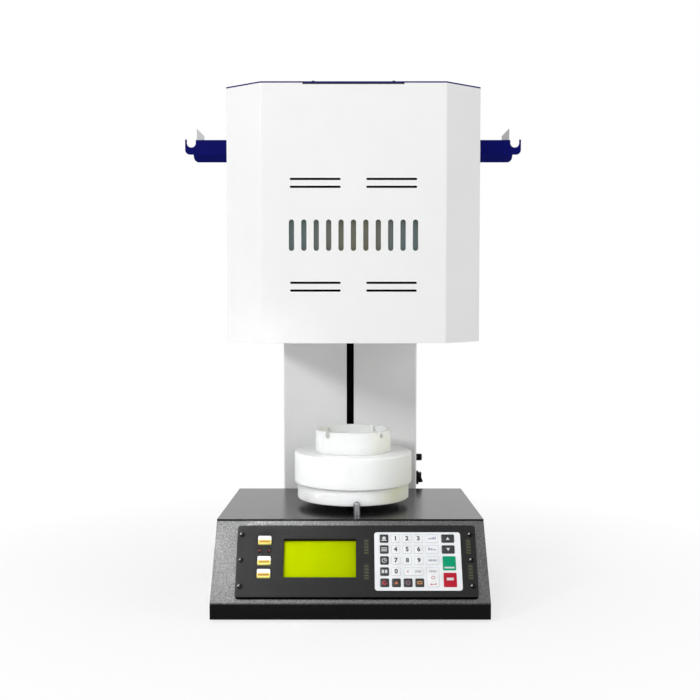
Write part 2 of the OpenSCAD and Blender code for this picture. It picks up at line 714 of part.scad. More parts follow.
// Motor shaft, clamped to the screw by a round coupling; all three turn together
module motor_shaft() color([0.75, 0.76, 0.78]) on_drive(motor_plate_z - 12)
    cylinder(r = shaft_r, h = 27);
module shaft_coupling() color([0.7, 0.71, 0.73]) on_drive(motor_plate_z + motor_plate_t + 3) difference() {
    cylinder(r = coupling_r, h = 22);
    translate([0, 0, -1]) cylinder(r = shaft_r + fit_gap, h = 8.1);
    translate([0, 0, 7]) cylinder(r = journal_r + fit_gap, h = 16);
}
module lead_screw() color([0.66, 0.67, 0.69]) on_drive(0) rotate_extrude()
    polygon([[0, motor_plate_z + 15.3], [journal_r, motor_plate_z + 15.3],
        [journal_r, low_plate_z + screw_plate_t + touch_gap],
        [screw_dia / 2 + 2, low_plate_z + screw_plate_t + touch_gap],
        [screw_dia / 2 + 2, low_plate_z + screw_plate_t + 3],
        [screw_dia / 2, low_plate_z + screw_plate_t + 3],
        [screw_dia / 2, high_plate_z - touch_gap], [journal_r, high_plate_z - touch_gap],
        [journal_r, high_plate_z + screw_plate_t - 1], [0, high_plate_z + screw_plate_t - 1]]);

// Carriage on the rods, with the nut from below and a bushing for each rod
carriage_w = 128;
carriage_d = 34;
nut_h = 30;
nut_flange = 4;
module carriage() color([0.6, 0.61, 0.64]) on_drive(carriage_z) difference() {
    translate([-carriage_w / 2, -carriage_d / 2, 0]) cube([carriage_w, carriage_d, carriage_h]);
    translate([0, 0, -1]) cylinder(r = nut_r + fit_gap, h = carriage_h + 2);
    rod_places() translate([0, 0, -1]) cylinder(r = bushing_r + fit_gap, h = carriage_h + 2);
    for (side = [-1, 1])
        translate([side * rod_pitch / 4, 0, -1]) cylinder(r = 7, h = carriage_h + 2);
}
module lift_nut() color([0.75, 0.58, 0.28]) on_drive(carriage_z) difference() {
    union() {
        cylinder(r = nut_r, h = nut_h);
        translate([0, 0, -nut_flange]) cylinder(r = nut_r + 5, h = nut_flange);
    }
    translate([0, 0, -nut_flange - 1]) cylinder(r = screw_dia / 2 + run_gap, h = nut_h + nut_flange + 2);
}
module rod_bushings() color([0.5, 0.51, 0.53]) on_drive(carriage_z + 2) rod_places() difference() {
    cylinder(r = bushing_r, h = carriage_h - 4);
    translate([0, 0, -1]) cylinder(r = rod_dia / 2 + run_gap, h = carriage_h);
}

// Arm from the carriage through the slot to the hearth, deeper where it leaves the column
arm_w = slot_w - 3;
arm_front = hearth_depth - 50;
carriage_front = drive_depth - carriage_d / 2;
foot_plate_t = 6;
foot_plate_w = 44;
hearth_plate_t = 3;
module lift_arm() color([0.16, 0.16, 0.17]) on_stand() {
    top = disc_z - hearth_plate_t;
    rear = carriage_front - foot_plate_t;
    step_d = hearth_depth + plug_dia / 2 + 2;
    translate([-arm_w / 2, 0, 0]) rotate([90, 0, 90]) linear_extrude(arm_w)
        polygon([[y_at(arm_front), top - arm_t], [y_at(carriage_front), top - arm_t],
            [y_at(carriage_front), plug_z - 1], [y_at(step_d + 12), plug_z - 1], [y_at(step_d), top],
            [y_at(arm_front), top]]);
    translate([-foot_plate_w / 2, y_at(rear), top - arm_t])
        cube([foot_plate_w, foot_plate_t, plug_z - 1 - top + arm_t]);
}

// Round steel plate under the ceramic hearth
hearth_plate_r = disc_dia / 2 - 14;
module hearth_plate() color([0.15, 0.15, 0.16]) on_axis()
    translate([0, 0, disc_z - hearth_plate_t]) cylinder(r = hearth_plate_r, h = hearth_plate_t);

module hearth_disc() color([0.93, 0.93, 0.9]) on_axis() rotate_extrude()
    polygon([[0, disc_z], [disc_dia / 2 - 1, disc_z], [disc_dia / 2, disc_z + 1],
        [disc_dia / 2, plug_z - 0.8], [disc_dia / 2 - 3, plug_z], [0, plug_z]]);

module hearth_plug() color([0.95, 0.95, 0.93]) on_axis() rotate_extrude()
    polygon(rounded([[0, plug_z], [plug_dia / 2, plug_z], [plug_dia / 2, tray_z], [0, tray_z]],
        [0, 2.5, 3, 0], 5));

// Round firing tray with four notches in its rim
tray_floor = 8;
notch_turn = 48;
module firing_tray() color([0.96, 0.96, 0.94]) on_axis() difference() {
    rotate_extrude() polygon(rounded([[0, tray_z], [tray_dia / 2, tray_z],
        [tray_dia / 2, tray_z + tray_h], [tray_dia / 2 - tray_wall, tray_z + tray_h],
        [tray_dia / 2 - tray_wall, tray_z + tray_floor], [0, tray_z + tray_floor]],
        [0, 1.2, 1.2, 1.2, 3, 0], 4));
    for (k = [0:3])
        rotate([0, 0, notch_turn + 90 * k]) translate([tray_dia / 2 - tray_wall / 2, 0, tray_z + tray_h]) {
            translate([-tray_wall, 0, -notch_h + notch_w / 2]) rotate([0, 90, 0])
                cylinder(d = notch_w, h = 2 * tray_wall);
            translate([-tray_wall, -notch_w / 2, -notch_h + notch_w / 2])
                cube([2 * tray_wall, notch_w, notch_h]);
        }
}

// Head

function head_plan(t) = inset([[-head_w / 2, y_at(head_rear)], [-head_w / 2, y_at(head_back_off + chamfer)],
    [-head_face_w / 2, y_at(head_back_off)], [head_face_w / 2, y_at(head_back_off)],
    [head_w / 2, y_at(head_back_off + chamfer)], [head_w / 2, y_at(head_rear)]], t);
fold_r = 3;
function fold(pts, r) = rounded(pts, [0, r, r, r, r, 0], 4);
bracket_w = 142.6;
vent_x = vent_l / 2 + 18;
vent_levels = [80, 225.6];
grille_z = 152.4;
grille_span = 182;

// White shell: front, two chamfers and two sides folded from one sheet
module head_shell() color([0.95, 0.95, 0.95]) difference() {
    translate([0, 0, head_z]) linear_extrude(head_h) difference() {
        polygon(fold(head_plan(0), fold_r));
        polygon(fold([for (p = head_plan(sheet_t)) p[1] > y_at(head_rear) - 10 ? [p[0], p[1] + 10] : p],
            fold_r - sheet_t));
        translate([-head_w, y_at(head_rear) - sheet_t]) square([2 * head_w, sheet_t + 20]);
    }
    translate([0, y_at(head_back_off) - 1, head_z]) rotate([-90, 0, 0]) mirror([0, 1, 0]) {
        for (side = [-1, 1], level = vent_levels, half = [-0.5, 0.5])
            translate([side * vent_x, level + half * vent_pitch, 0])
                round_slot(vent_l, vent_h, sheet_t + 2);
        for (k = [0:grille_n - 1])
            translate([(k / (grille_n - 1) - 0.5) * (grille_span - grille_w), grille_z, 0])
                rotate([0, 0, 90]) round_slot(grille_h, grille_w, sheet_t + 2);
    }
    translate([-bracket_w / 2, y_at(head_back_off) - 1, head_top - cap_t])
        cube([bracket_w, sheet_t + 2, cap_t + 1]);
    hook_screw_places() translate([0, 0, -sheet_t - 3]) cylinder(r = screw4_r + hole_gap, h = sheet_t + 4);
}

module head_back() color([0.06, 0.06, 0.22]) difference() {
    translate([-head_w / 2, y_at(head_rear) - sheet_t, head_z]) cube([head_w, sheet_t, head_h]);
    bolt_places() translate([0, 0, -sheet_t - 1]) cylinder(r = bolt_r + hole_gap, h = sheet_t + 2);
}

module head_bottom_plate() color([0.9, 0.9, 0.9]) difference() {
    translate([0, 0, head_z]) linear_extrude(cap_t) polygon(head_plan(sheet_t + touch_gap));
    on_axis() translate([0, 0, head_z - 1]) cylinder(r = mouth_r, h = cap_t + 2);
}

module head_top_plate() color([0.05, 0.06, 0.3]) difference() {
    translate([0, 0, head_top]) linear_extrude(cap_t) polygon(fold(head_plan(0), fold_r));
    top_screw_places() translate([0, 0, -1]) cylinder(r = top_screw_r + hole_gap, h = cap_t + 2);
}

// Black angle let into the front edge of the shell; the top plate is screwed to it
top_screw_r = 1.5;
top_screw_x = 56.5;
bracket_leaf = 22;
module top_screw_places()
    for (side = [-1, 1])
        translate([side * top_screw_x, y_at(head_back_off) + 7, head_top]) children();
module top_edge_bracket() color([0.05, 0.05, 0.06]) difference() {
    union() {
        translate([-bracket_w / 2 + touch_gap, y_at(head_back_off), head_top - cap_t])
            cube([bracket_w - 2 * touch_gap, bracket_leaf, cap_t]);
        translate([-bracket_w / 2 + touch_gap, y_at(head_back_off) + sheet_t, head_top - bracket_leaf])
            cube([bracket_w - 2 * touch_gap, cap_t, bracket_leaf - cap_t]);
    }
    top_screw_places() translate([0, 0, -cap_t - 1]) cylinder(r = top_screw_r + hole_gap, h = cap_t + 2);
}
module top_screws() color([0.04, 0.04, 0.05]) top_screw_places() translate([0, 0, cap_t])
    button_screw(2.8, top_screw_r, 2 * cap_t + 3, 2.1);

// Bolts that carry the head on the column, with their nuts
module head_bolts() color([0.55, 0.56, 0.58]) bolt_places() {
    translate([0, 0, -sheet_t - 4]) cylinder(r = 5, h = 4);
    translate([0, 0, -sheet_t]) cylinder(r = bolt_r, h = 2 * sheet_t + 6);
    translate([0, 0, sheet_t]) cylinder(r = 5.5, h = 5, $fn = 6);
}

// Folded steel casing inside the shell, seen through its slots; cooling air rises between the two
casing_t = 0.8;
air_gap = 8;
insulation_r = chamber_r + insulation_wall;
mouth_r = plug_dia / 2 + 2.5;
body_z = head_z + cap_t;
seat_z = head_z + plug_h + 1.5;
roof_z = seat_z + chamber_h;
lid_top = roof_z + lid_h;
function casing_plan(t) = [for (p = head_plan(sheet_t + air_gap + t))
    p[1] > y_at(head_rear) - 20 ? [p[0], y_at(head_rear) - sheet_t - touch_gap + 30 * t] : p];
module inner_casing() color([0.5, 0.54, 0.52]) translate([0, 0, body_z])
    linear_extrude(head_top - bracket_leaf - 3 - body_z) difference() {
        polygon(fold(casing_plan(0), 2));
        polygon(fold(casing_plan(casing_t), 2 - casing_t));
    }

module insulation_body() color([0.94, 0.92, 0.86]) on_axis() rotate_extrude()
    polygon([[mouth_r, body_z], [insulation_r, body_z], [insulation_r, roof_z],
        [chamber_r, roof_z], [chamber_r, seat_z], [mouth_r, seat_z]]);

module insulation_lid() color([0.94, 0.92, 0.86]) on_axis() difference() {
    translate([0, 0, roof_z]) cylinder(r = insulation_r, h = lid_h);
    element_legs() translate([0, 0, roof_z - 1]) cylinder(r = element_r + 0.4, h = lid_h + 2);
    translate([0, 0, roof_z - 1]) cylinder(r = tube_r + 0.3, h = lid_h + 2);
}

// Four hairpin heating elements that hang through the lid around the chamber
element_n = 4;
element_r = element_dia / 2;
hairpin_r = 15;
leg_top = lid_top + 28;
bend_z = seat_z + 9 + hairpin_r;
module element_places() for (k = [0:element_n - 1])
    rotate([0, 0, 45 + 360 / element_n * k]) translate([element_ring_r, 0, 0]) children();
module element_legs() element_places()
    for (side = [-1, 1]) translate([0, side * hairpin_r, 0]) children();

module heating_elements() color([0.3, 0.3, 0.32]) on_axis() element_places() {
    for (side = [-1, 1])
        translate([0, side * hairpin_r, bend_z]) cylinder(r = element_r, h = leg_top - bend_z);
    translate([0, 0, bend_z]) rotate([90, 0, 90]) rotate([0, 0, 180])
        rotate_extrude(angle = 180) translate([hairpin_r, 0]) circle(r = element_r);
}

// Ceramic holder, two clamps and the aluminium straps that join the elements in a row
holder_w = 16;
holder_h = 12;
clamp_w = 14;
clamp_h = 12;
strap_w = 12;
strap_t = 2;
module element_terminals() color([0.8, 0.8, 0.79]) on_axis() {
    element_places() translate([0, 0, lid_top]) difference() {
        translate([-holder_w / 2, -hairpin_r - holder_w / 2, 0])
            cube([holder_w, 2 * hairpin_r + holder_w, holder_h]);
        for (side = [-1, 1])
            translate([0, side * hairpin_r, -1]) cylinder(r = element_r + hole_gap, h = holder_h + 2);
    }
    element_legs() translate([0, 0, leg_top - clamp_h]) difference() {
        translate([-clamp_w / 2, -clamp_w / 2, 0]) cube([clamp_w, clamp_w, clamp_h]);
        translate([0, 0, -1]) cylinder(r = element_r + fit_gap, h = clamp_h + 2);
    }
    for (k = [0:element_n - 2])
        rotate([0, 0, 90 * k]) {
            reach = element_ring_r * cos(45) + hairpin_r * sin(45);
            half = element_ring_r * cos(45) - hairpin_r * sin(45) + clamp_w / 2 + 1;
            translate([reach - strap_w / 2, -half, leg_top]) cube([strap_w, 2 * half, strap_t]);
        }
}

tube_r = 4;
tip_gap = 12;
tube_up = 30;
flange_t = 4;
module thermocouple() color([0.88, 0.86, 0.8]) on_axis() {
    translate([0, 0, roof_z - tip_gap]) cylinder(r = tube_r, h = tip_gap + lid_h + tube_up);
    translate([0, 0, lid_top]) difference() {
        cylinder(r = 13, h = flange_t);
        translate([0, 0, -1]) cylinder(r = tube_r, h = flange_t + 2);
    }
    translate([0, 0, lid_top + tube_up]) cylinder(r = 14, h = 18);
}

// Side hooks

hook_depth = head_rear - hook_setback;
hook_top = head_top - hook_drop;
hook_low = hook_top - hook_h;
notch_r = hook_notch / 2;
hook_tip = 2.8;
notch_x = hook_span / 2 - hook_tip - notch_r;
notch_deep = 12;
lip_drop = 11.5;
lip_in = 13.5;
flange_l = hook_setback - 14;
hook_screw_in = 14;
hook_screw_pitch = 20;
hook_corner_r = 7.5;

module hook_screw_places()
    for (side = [-1, 1], k = [0, 1])
        translate([side * head_w / 2, y_at(hook_depth) + hook_screw_in + hook_screw_pitch * k,
            (hook_top + hook_low) / 2])
            rotate([0, side * 90, 0]) children();

// One arm: an upright plate with the notch, a lip folded back under it, and a flange on the head
module hook_arm() {
    x0 = head_w / 2;
    x1 = hook_span / 2;
    difference() {
        translate([0, y_at(hook_depth) + hook_t, 0]) rotate([90, 0, 0]) linear_extrude(hook_t)
            polygon(rounded([[x0, hook_low], [x1, hook_low], [x1, hook_top + 0.8],
                [x1 - hook_tip, hook_top + 0.8], [x1 - hook_tip, hook_top], [x0, hook_top]],
                [0, hook_corner_r, 1, 0, 0, 0]));
        translate([notch_x, y_at(hook_depth) - 1, hook_top - notch_deep + notch_r]) rotate([-90, 0, 0])
            cylinder(r = notch_r, h = hook_t + 2);
        translate([notch_x - notch_r, y_at(hook_depth) - 1, hook_top - notch_deep + notch_r])
            cube([2 * notch_r, hook_t + 2, notch_deep]);
    }
    intersection() {
        translate([x0, 0, 0]) rotate([90, 0, 90]) linear_extrude(x1 - x0) polygon([
            [y_at(hook_depth), hook_low], [y_at(hook_depth) + lip_drop, hook_low - lip_drop],
            [y_at(hook_depth) + lip_drop + hook_t, hook_low - lip_drop + hook_t * tan(22.5)],
            [y_at(hook_depth) + hook_t, hook_low]]);
        translate([0, y_at(hook_depth) + 40, 0]) rotate([90, 0, 0]) linear_extrude(50)
            polygon(rounded([[x0, hook_low - lip_drop], [x1 - lip_in, hook_low - lip_drop],
                [x1 - lip_in, hook_low + 1], [x0, hook_low + 1]], [0, hook_corner_r, 0, 0]));
    }
    translate([x0, y_at(hook_depth) + hook_t, hook_low]) cube([hook_t, flange_l, hook_h]);
}

module hook_arms() color([0.04, 0.05, 0.4]) difference() {
    for (side = [0, 1]) mirror([side, 0, 0]) hook_arm();
    hook_screw_places() translate([0, 0, -1]) cylinder(r = screw4_r + hole_gap, h = hook_t + 2);
}

// Light metal tab behind each arm; its upright edge guides a bar into the notch
tab_t = 1.5;
tab_w = 13.7;
tab_rise = 19;
tab_slope = 12.5;
module hook_tabs() color([0.75, 0.76, 0.77])
    for (side = [0, 1]) mirror([side, 0, 0])
        translate([notch_x - notch_r, y_at(hook_depth) + hook_t + tab_t, 0]) rotate([90, 0, 0])
            linear_extrude(tab_t) polygon([[-tab_w, hook_low + 2], [-1.5, hook_low + 2],
                [-1.5, hook_top + tab_rise], [-tab_w, hook_top + tab_rise - tab_slope]]);

module hook_screws() color([0.06, 0.07, 0.35]) hook_screw_places() translate([0, 0, hook_t])
    button_screw(3.8, screw4_r, hook_t + sheet_t + 3, 2.2);

// Every piece under its own name

bottom_plate();
rubber_feet();
base_cover();
stop_pin();
control_panel();
panel_screws();
display_module();
display_glass();
keypad_film();
keypad_keys();
indicator_leds();
button_board();
button_top();
button_middle();
button_low();
control_board();
board_standoffs();
transformer_core();
transformer_coil();
column_cover();
column_back();
column_cap();
cable_gland();
power_switch();
power_rocker();
fuse_holder();
fuse_cap();
motor_plate();
lift_motor();
screw_plates();
screw_bearings();
guide_rods();
limit_switches();
motor_shaft();
shaft_coupling();
lead_screw();
carriage();
lift_nut();
rod_bushings();
lift_arm();
hearth_plate();
hearth_disc();
hearth_plug();
firing_tray();
head_shell();
head_back();
head_bottom_plate();
head_top_plate();
top_edge_bracket();
top_screws();
head_bolts();
inner_casing();
insulation_body();
insulation_lid();
heating_elements();
element_terminals();
thermocouple();
hook_arms();
hook_tabs();
hook_screws();
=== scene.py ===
# Bench sintering furnace: black console with display and keypad, grey column, lifting ceramic
# hearth and white chamfered head. Every size is in metres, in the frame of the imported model.
import bpy, bmesh
from math import radians, atan2, hypot, pi
from mathutils import Matrix, Vector


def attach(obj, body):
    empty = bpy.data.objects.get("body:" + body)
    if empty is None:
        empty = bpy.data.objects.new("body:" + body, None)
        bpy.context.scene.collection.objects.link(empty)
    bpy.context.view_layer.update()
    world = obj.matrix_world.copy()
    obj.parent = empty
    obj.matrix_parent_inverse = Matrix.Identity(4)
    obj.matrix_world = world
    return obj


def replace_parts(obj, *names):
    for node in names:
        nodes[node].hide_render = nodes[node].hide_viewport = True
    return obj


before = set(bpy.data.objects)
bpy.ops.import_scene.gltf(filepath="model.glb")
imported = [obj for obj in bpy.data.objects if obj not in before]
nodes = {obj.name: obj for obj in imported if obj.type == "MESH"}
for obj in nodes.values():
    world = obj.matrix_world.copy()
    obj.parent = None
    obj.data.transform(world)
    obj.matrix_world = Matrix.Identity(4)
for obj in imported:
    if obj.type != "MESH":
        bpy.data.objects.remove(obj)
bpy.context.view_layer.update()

# Camera: it stands 1.66 m in front of the base lip, a little above the middle of the furnace,
# and looks 3.6 degrees down. The long lens keeps the head's sides nearly upright.
camera = bpy.data.objects.new("camera", bpy.data.cameras.new("camera"))
bpy.context.collection.objects.link(camera)
camera.data.lens = 61.1
camera.data.sensor_width = 36
camera.location = (-0.0049, -1.8965, 0.4923)
camera.rotation_euler = (radians(90 - 3.585), 0, 0)
bpy.context.scene.camera = camera
bpy.context.scene.view_settings.view_transform = "Standard"

# Light: soft panels above, at the left and at the right, in an even room that is full white where
# it is seen or mirrored, and softer where it only lights. Four small lamps with honeycomb grids
# lift the column's foot, the hearth in the head's shade and the base's left end.
def soft_panel(name, place, target, size, watts, spread=180):
    lamp = bpy.data.objects.new(name, bpy.data.lights.new(name, "AREA"))
    bpy.context.collection.objects.link(lamp)
    lamp.data.shape = "RECTANGLE"
    lamp.data.size, lamp.data.size_y = size
    lamp.data.energy = watts
    lamp.data.spread = radians(spread)
    lamp.location = place
    lamp.rotation_euler = (Vector(target) - Vector(place)).to_track_quat("-Z", "Y").to_euler()

def node_on(tree, kind, inputs=(), **settings):
    made = tree.nodes.new("ShaderNode" + kind)
    for key, value in settings.items():
        setattr(made, key, value)
    for key, value in dict(inputs).items():
        if isinstance(value, bpy.types.NodeSocket):
            tree.links.new(value, made.inputs[key])
        else:
            made.inputs[key].default_value = value
    return made

high_left, furnace_middle, grid_size = (-0.8, -1.82, 2.58), (0, 0, 0.3), (0.15, 0.15)
soft_panel("panel_above", high_left, furnace_middle, (0.45, 0.7), 17)
soft_panel("panel_left", (-1.59, -1.77, 1.21), furnace_middle, (0.32, 0.32), 22)
soft_panel("panel_right", (2.3, -1.1, 0.97), furnace_middle, (1.2, 1.2), 16.5)
soft_panel("grid_left", (-1.2, -1.6, 0.95), (0.04, 0.1, 0.27), grid_size, 0.008, 8)
soft_panel("grid_hearth", (-0.75, -1.7, 1.7), (0.0, -0.08, 0.19), (0.07, 0.07), 0.0085, 4.6)
soft_panel("grid_side", (-1.7, -0.6, 0.85), (0.0, -0.03, 0.2), grid_size, 0.013, 8)
soft_panel("grid_above", high_left, (-0.14, -0.17, 0.12), grid_size, 0.07, 6)

world = bpy.data.worlds.new("room")
bpy.context.scene.world = world
world.use_nodes = True
sky = world.node_tree
sky.nodes.clear()
rays = node_on(sky, "LightPath").outputs
seen = node_on(sky, "Math", {0: rays["Is Camera Ray"], 1: rays["Is Glossy Ray"]},
               operation="MAXIMUM")
clear = node_on(sky, "Math", {0: seen.outputs[0], 1: rays["Is Transmission Ray"]},
                operation="MAXIMUM")
level = node_on(sky, "MapRange", {"Value": clear.outputs[0], "To Min": 0.42, "To Max": 1.0})
room = node_on(sky, "Background", {"Color": (1, 1, 1, 1), "Strength": level.outputs[0]})
node_on(sky, "OutputWorld", {"Surface": room.outputs[0]})

# Table top: a plain white sheet that keeps the furnace's shadow. It brightens to full white away
# from the furnace, so that no edge shows behind it.
def new_finish(name):
    mat = bpy.data.materials.new(name)
    mat.use_nodes = True
    return mat

def node_in(mat, kind, inputs=(), **settings):
    return node_on(mat.node_tree, kind, inputs, **settings)

def shader_of(mat):
    return mat.node_tree.nodes["Principled BSDF"]

def feed(mat, inputs):
    for key, value in inputs.items():
        if isinstance(value, bpy.types.NodeSocket):
            mat.node_tree.links.new(value, shader_of(mat).inputs[key])
        else:
            shader_of(mat).inputs[key].default_value = value

def place_on(mat):
    return node_in(mat, "TexCoord").outputs["Object"]

def calc(mat, operation, *values, **settings):
    return node_in(mat, "Math", dict(enumerate(values)), operation=operation, **settings).outputs[0]

def remap(mat, value, from_min, from_max, to_min=0.0, to_max=1.0):
    return node_in(mat, "MapRange", {"Value": value, "From Min": from_min, "From Max": from_max,
                                     "To Min": to_min, "To Max": to_max}).outputs[0]

bm = bmesh.new()
bmesh.ops.create_grid(bm, x_segments=1, y_segments=1, size=6)
mesh = bpy.data.meshes.new("table_top")
bm.to_mesh(mesh)
bm.free()
table_top = bpy.data.objects.new("table_top", mesh)
bpy.context.collection.objects.link(table_top)
paper = new_finish("white_paper")
feed(paper, {"Base Color": (0.9, 0.9, 0.9, 1), "Roughness": 0.9})
centre = node_in(paper, "Mapping", {"Vector": place_on(paper), "Scale": (1.25, 1.25, 1.25)})
ball = node_in(paper, "TexGradient", {"Vector": centre.outputs[0]}, gradient_type="SPHERICAL")
rays = node_in(paper, "LightPath").outputs
looked = calc(paper, "MAXIMUM", rays["Is Camera Ray"], rays["Is Glossy Ray"])
share = calc(paper, "MULTIPLY", looked, remap(paper, ball.outputs["Fac"], 0.0, 1.0, 1.0, 0.6))
glow = node_in(paper, "Emission", {"Strength": 1.0})
both = node_in(paper, "MixShader", {0: share, 1: shader_of(paper).outputs[0], 2: glow.outputs[0]})
paper_out = paper.node_tree.nodes["Material Output"]
paper.node_tree.links.new(both.outputs[0], paper_out.inputs["Surface"])
mesh.materials.append(paper)

# Head shell: one sheet of steel folded into front, chamfers and sides, with punched vents.
# It is powder coated in satin white, which leaves a very fine orange peel. The punched edges
# inside the vents are painted near black, as painted shade in the narrow slots.
def paint(mat, *names):
    for name in names:
        slots = nodes[name].data.materials
        slots.clear()
        slots.append(mat)

def facing_on(mat):
    return node_in(mat, "TexCoord").outputs["Normal"]

def along(mat, vector, axis):
    return node_in(mat, "SeparateXYZ", {0: vector}).outputs[axis]

def noise(mat, where, scale, detail, **more):
    return node_in(mat, "TexNoise", {"Vector": where, "Scale": scale, "Detail": detail,
                                     **more}).outputs["Fac"]

def relief(mat, height, strength, depth):
    return node_in(mat, "Bump", {"Height": height, "Strength": strength,
                                 "Distance": depth}).outputs["Normal"]

def mix(mat, share, under, over, blend="MIX"):
    return node_in(mat, "MixRGB", {"Fac": share, "Color1": under, "Color2": over},
                   blend_type=blend).outputs["Color"]

def fade(mat, value, start, first, end, last):
    tone = node_in(mat, "ValToRGB", {"Fac": value})
    stops = tone.color_ramp.elements
    stops[0].position, stops[0].color = start, (*first, 1)
    stops[1].position, stops[1].color = end, (*last, 1)
    return tone.outputs["Color"]

def colour_of(mat):
    return shader_of(mat).inputs["Base Color"].links[0].from_socket

def powder_coat(name, dark, light, rough, peel, depth):
    mat = new_finish(name)
    where = place_on(mat)
    skin = noise(mat, where, peel, 2)
    feed(mat, {"Base Color": fade(mat, noise(mat, where, 7, 3), 0.35, dark, 0.65, light),
               "Normal": relief(mat, skin, 0.5, depth),
               "Roughness": remap(mat, skin, 0.3, 0.7, rough - 0.05, rough + 0.07)})
    return mat

vents_half_w, vents_z, vents_half_h = 0.13, 0.55, 0.11
head_white = powder_coat("head_white", (0.79, 0.79, 0.79), (0.81, 0.81, 0.81), 0.42, 900, 0.00004)
where, facing = place_on(head_white), facing_on(head_white)
beside = calc(head_white, "COMPARE", along(head_white, where, "X"), 0, vents_half_w)
level_with = calc(head_white, "COMPARE", along(head_white, where, "Z"), vents_z, vents_half_h)
in_wall = calc(head_white, "COMPARE", along(head_white, facing, "Y"), 0, 0.3)
# Painted shade: cut edges in the vent area are painted near black.
vent_edge_shade = calc(head_white, "MULTIPLY", calc(head_white, "MULTIPLY", beside, level_with), in_wall)
feed(head_white, {"Base Color": mix(head_white, vent_edge_shade, colour_of(head_white),
                                    (0.02, 0.02, 0.02, 1))})
paint(head_white, "head_shell", "head_bottom_plate")

# Head back, top plate and hook arms: cut and bent sheet steel in deep navy enamel, nearly without
# gloss. Each arm's flange is held to the head's side by two screws in the same enamel.
navy = powder_coat("navy_enamel", (0.002, 0.003, 0.1), (0.003, 0.005, 0.14), 0.45, 1100, 0.00003)
feed(navy, {"Specular IOR Level": 0.05})
paint(navy, "head_top_plate", "head_back", "hook_arms", "hook_screws")

# Top edge bracket: a black enamelled angle let into the front edge of the head's shell. The top
# plate is screwed to it.
soot = powder_coat("black_enamel", (0.008, 0.008, 0.009), (0.012, 0.012, 0.013), 0.35, 1300,
                   0.00002)
paint(soot, "top_edge_bracket")

# Column: one sheet folded into front and sides, with a vented back and a cap over its top. All
# three are powder coated in light grey, with the same fine orange peel as the head.
column_grey = powder_coat("column_grey", (0.79, 0.793, 0.796), (0.83, 0.833, 0.836), 0.4, 900,
                          0.00004)
paint(column_grey, "column_cover", "column_back", "column_cap")

# Base cover: folded sheet in black powder. On the coarse slope, pale grains are painted into the
# colour as a painted sheen of the light from above. The gloss is also set by facing: strong on
# faces that look up, nearly none on upright ones. The flat top is smooth enough to mirror the
# column, and upright faces are nearly plain black, like the brow between slope and top.
base_black = new_finish("base_black")
brow_z = 0.1306
where = place_on(base_black)
grain = noise(base_black, where, 480, 3, Roughness=0.65)
upward = along(base_black, facing_on(base_black), "Z")
high = calc(base_black, "GREATER_THAN", along(base_black, where, "Z"), brow_z)
flat = calc(base_black, "GREATER_THAN", upward, 0.97)
up = mix(base_black, high, remap(base_black, upward, 0.1, 0.5), flat)
painted_sheen_slope = calc(base_black, "SUBTRACT", up, flat, use_clamp=True)
# Painted sheen: pale grains on the up-facing slope only, none on the flat top or upright faces.
share = calc(base_black, "MULTIPLY", painted_sheen_slope, remap(base_black, grain, 0.42, 0.62))
feed(base_black, {
    "Base Color": mix(base_black, share, (0.0045, 0.0045, 0.0047, 1), (0.09, 0.09, 0.092, 1)),
    "Normal": relief(base_black, grain, remap(base_black, flat, 0.0, 1.0, 0.7, 0.04), 0.0007),
    "Specular IOR Level": remap(base_black, up, 0.0, 1.0, 0.06, 0.9),
    "Roughness": remap(base_black, flat, 0.0, 1.0, 0.31, 0.24)})
paint(base_black, "base_cover", "bottom_plate", "lift_arm")

# Rubber feet and black plastic fittings: matt moulded parts with a fine spark-eroded grain. The
# two oiled black screws in the head's top edge are smoother.
def uneven(mat, cloud, colour, dark, light):
    return mix(mat, cloud, (*[c * dark for c in colour], 1),
               (*[min(1, c * light) for c in colour], 1))

def moulded(name, colour, rough, grain=1500, depth=0.00003, gloss=0.5):
    mat = new_finish(name)
    where = place_on(mat)
    feed(mat, {"Base Color": uneven(mat, noise(mat, where, 40, 2), colour, 0.85, 1.12),
               "Normal": relief(mat, noise(mat, where, grain, 2), 0.4, depth),
               "Roughness": rough, "Specular IOR Level": gloss})
    return mat

rubber = moulded("black_rubber", (0.012, 0.012, 0.012), 0.8)
black_plastic = moulded("black_plastic", (0.003, 0.003, 0.003), 0.4, gloss=0.12)
paint(rubber, "rubber_feet")
paint(black_plastic, "display_module", "cable_gland", "power_switch", "fuse_holder", "fuse_cap",
      "limit_switches", "lift_motor")
paint(moulded("black_oxide", (0.002, 0.002, 0.002), 0.2, 900, 0.00001, 0.12), "top_screws")

# Steel pieces: rods, shafts, bolts, pin and tabs of drawn and ground bar and strip. A fine grain
# shows along their length, the lead screw is painted nearly black as the shade seen through the
# column's slot, and the tabs are dull.
def bare_metal(name, colour, rough, stretch=(60, 60, 900)):
    mat = new_finish(name)
    drawn = node_in(mat, "Mapping", {"Vector": place_on(mat), "Scale": stretch})
    lines = noise(mat, drawn.outputs[0], 3, 4)
    feed(mat, {"Base Color": uneven(mat, lines, colour, 0.82, 1.1), "Metallic": 1.0,
               "Roughness": remap(mat, lines, 0.3, 0.7, rough - 0.06, rough + 0.1)})
    return mat

steel = bare_metal("ground_steel", (0.56, 0.57, 0.59), 0.24)
paint(steel, "guide_rods", "motor_shaft", "screw_bearings", "rod_bushings", "head_bolts")
paint(bare_metal("pin_steel", (0.3, 0.3, 0.31), 0.3), "stop_pin")
# Painted shade: the lead screw is nearly black so the slot in front of it stays dark.
paint(bare_metal("painted_shade_screw", (0.03, 0.03, 0.03), 0.6), "lead_screw")
paint(bare_metal("tab_steel", (0.4, 0.41, 0.41), 0.5), "hook_tabs")
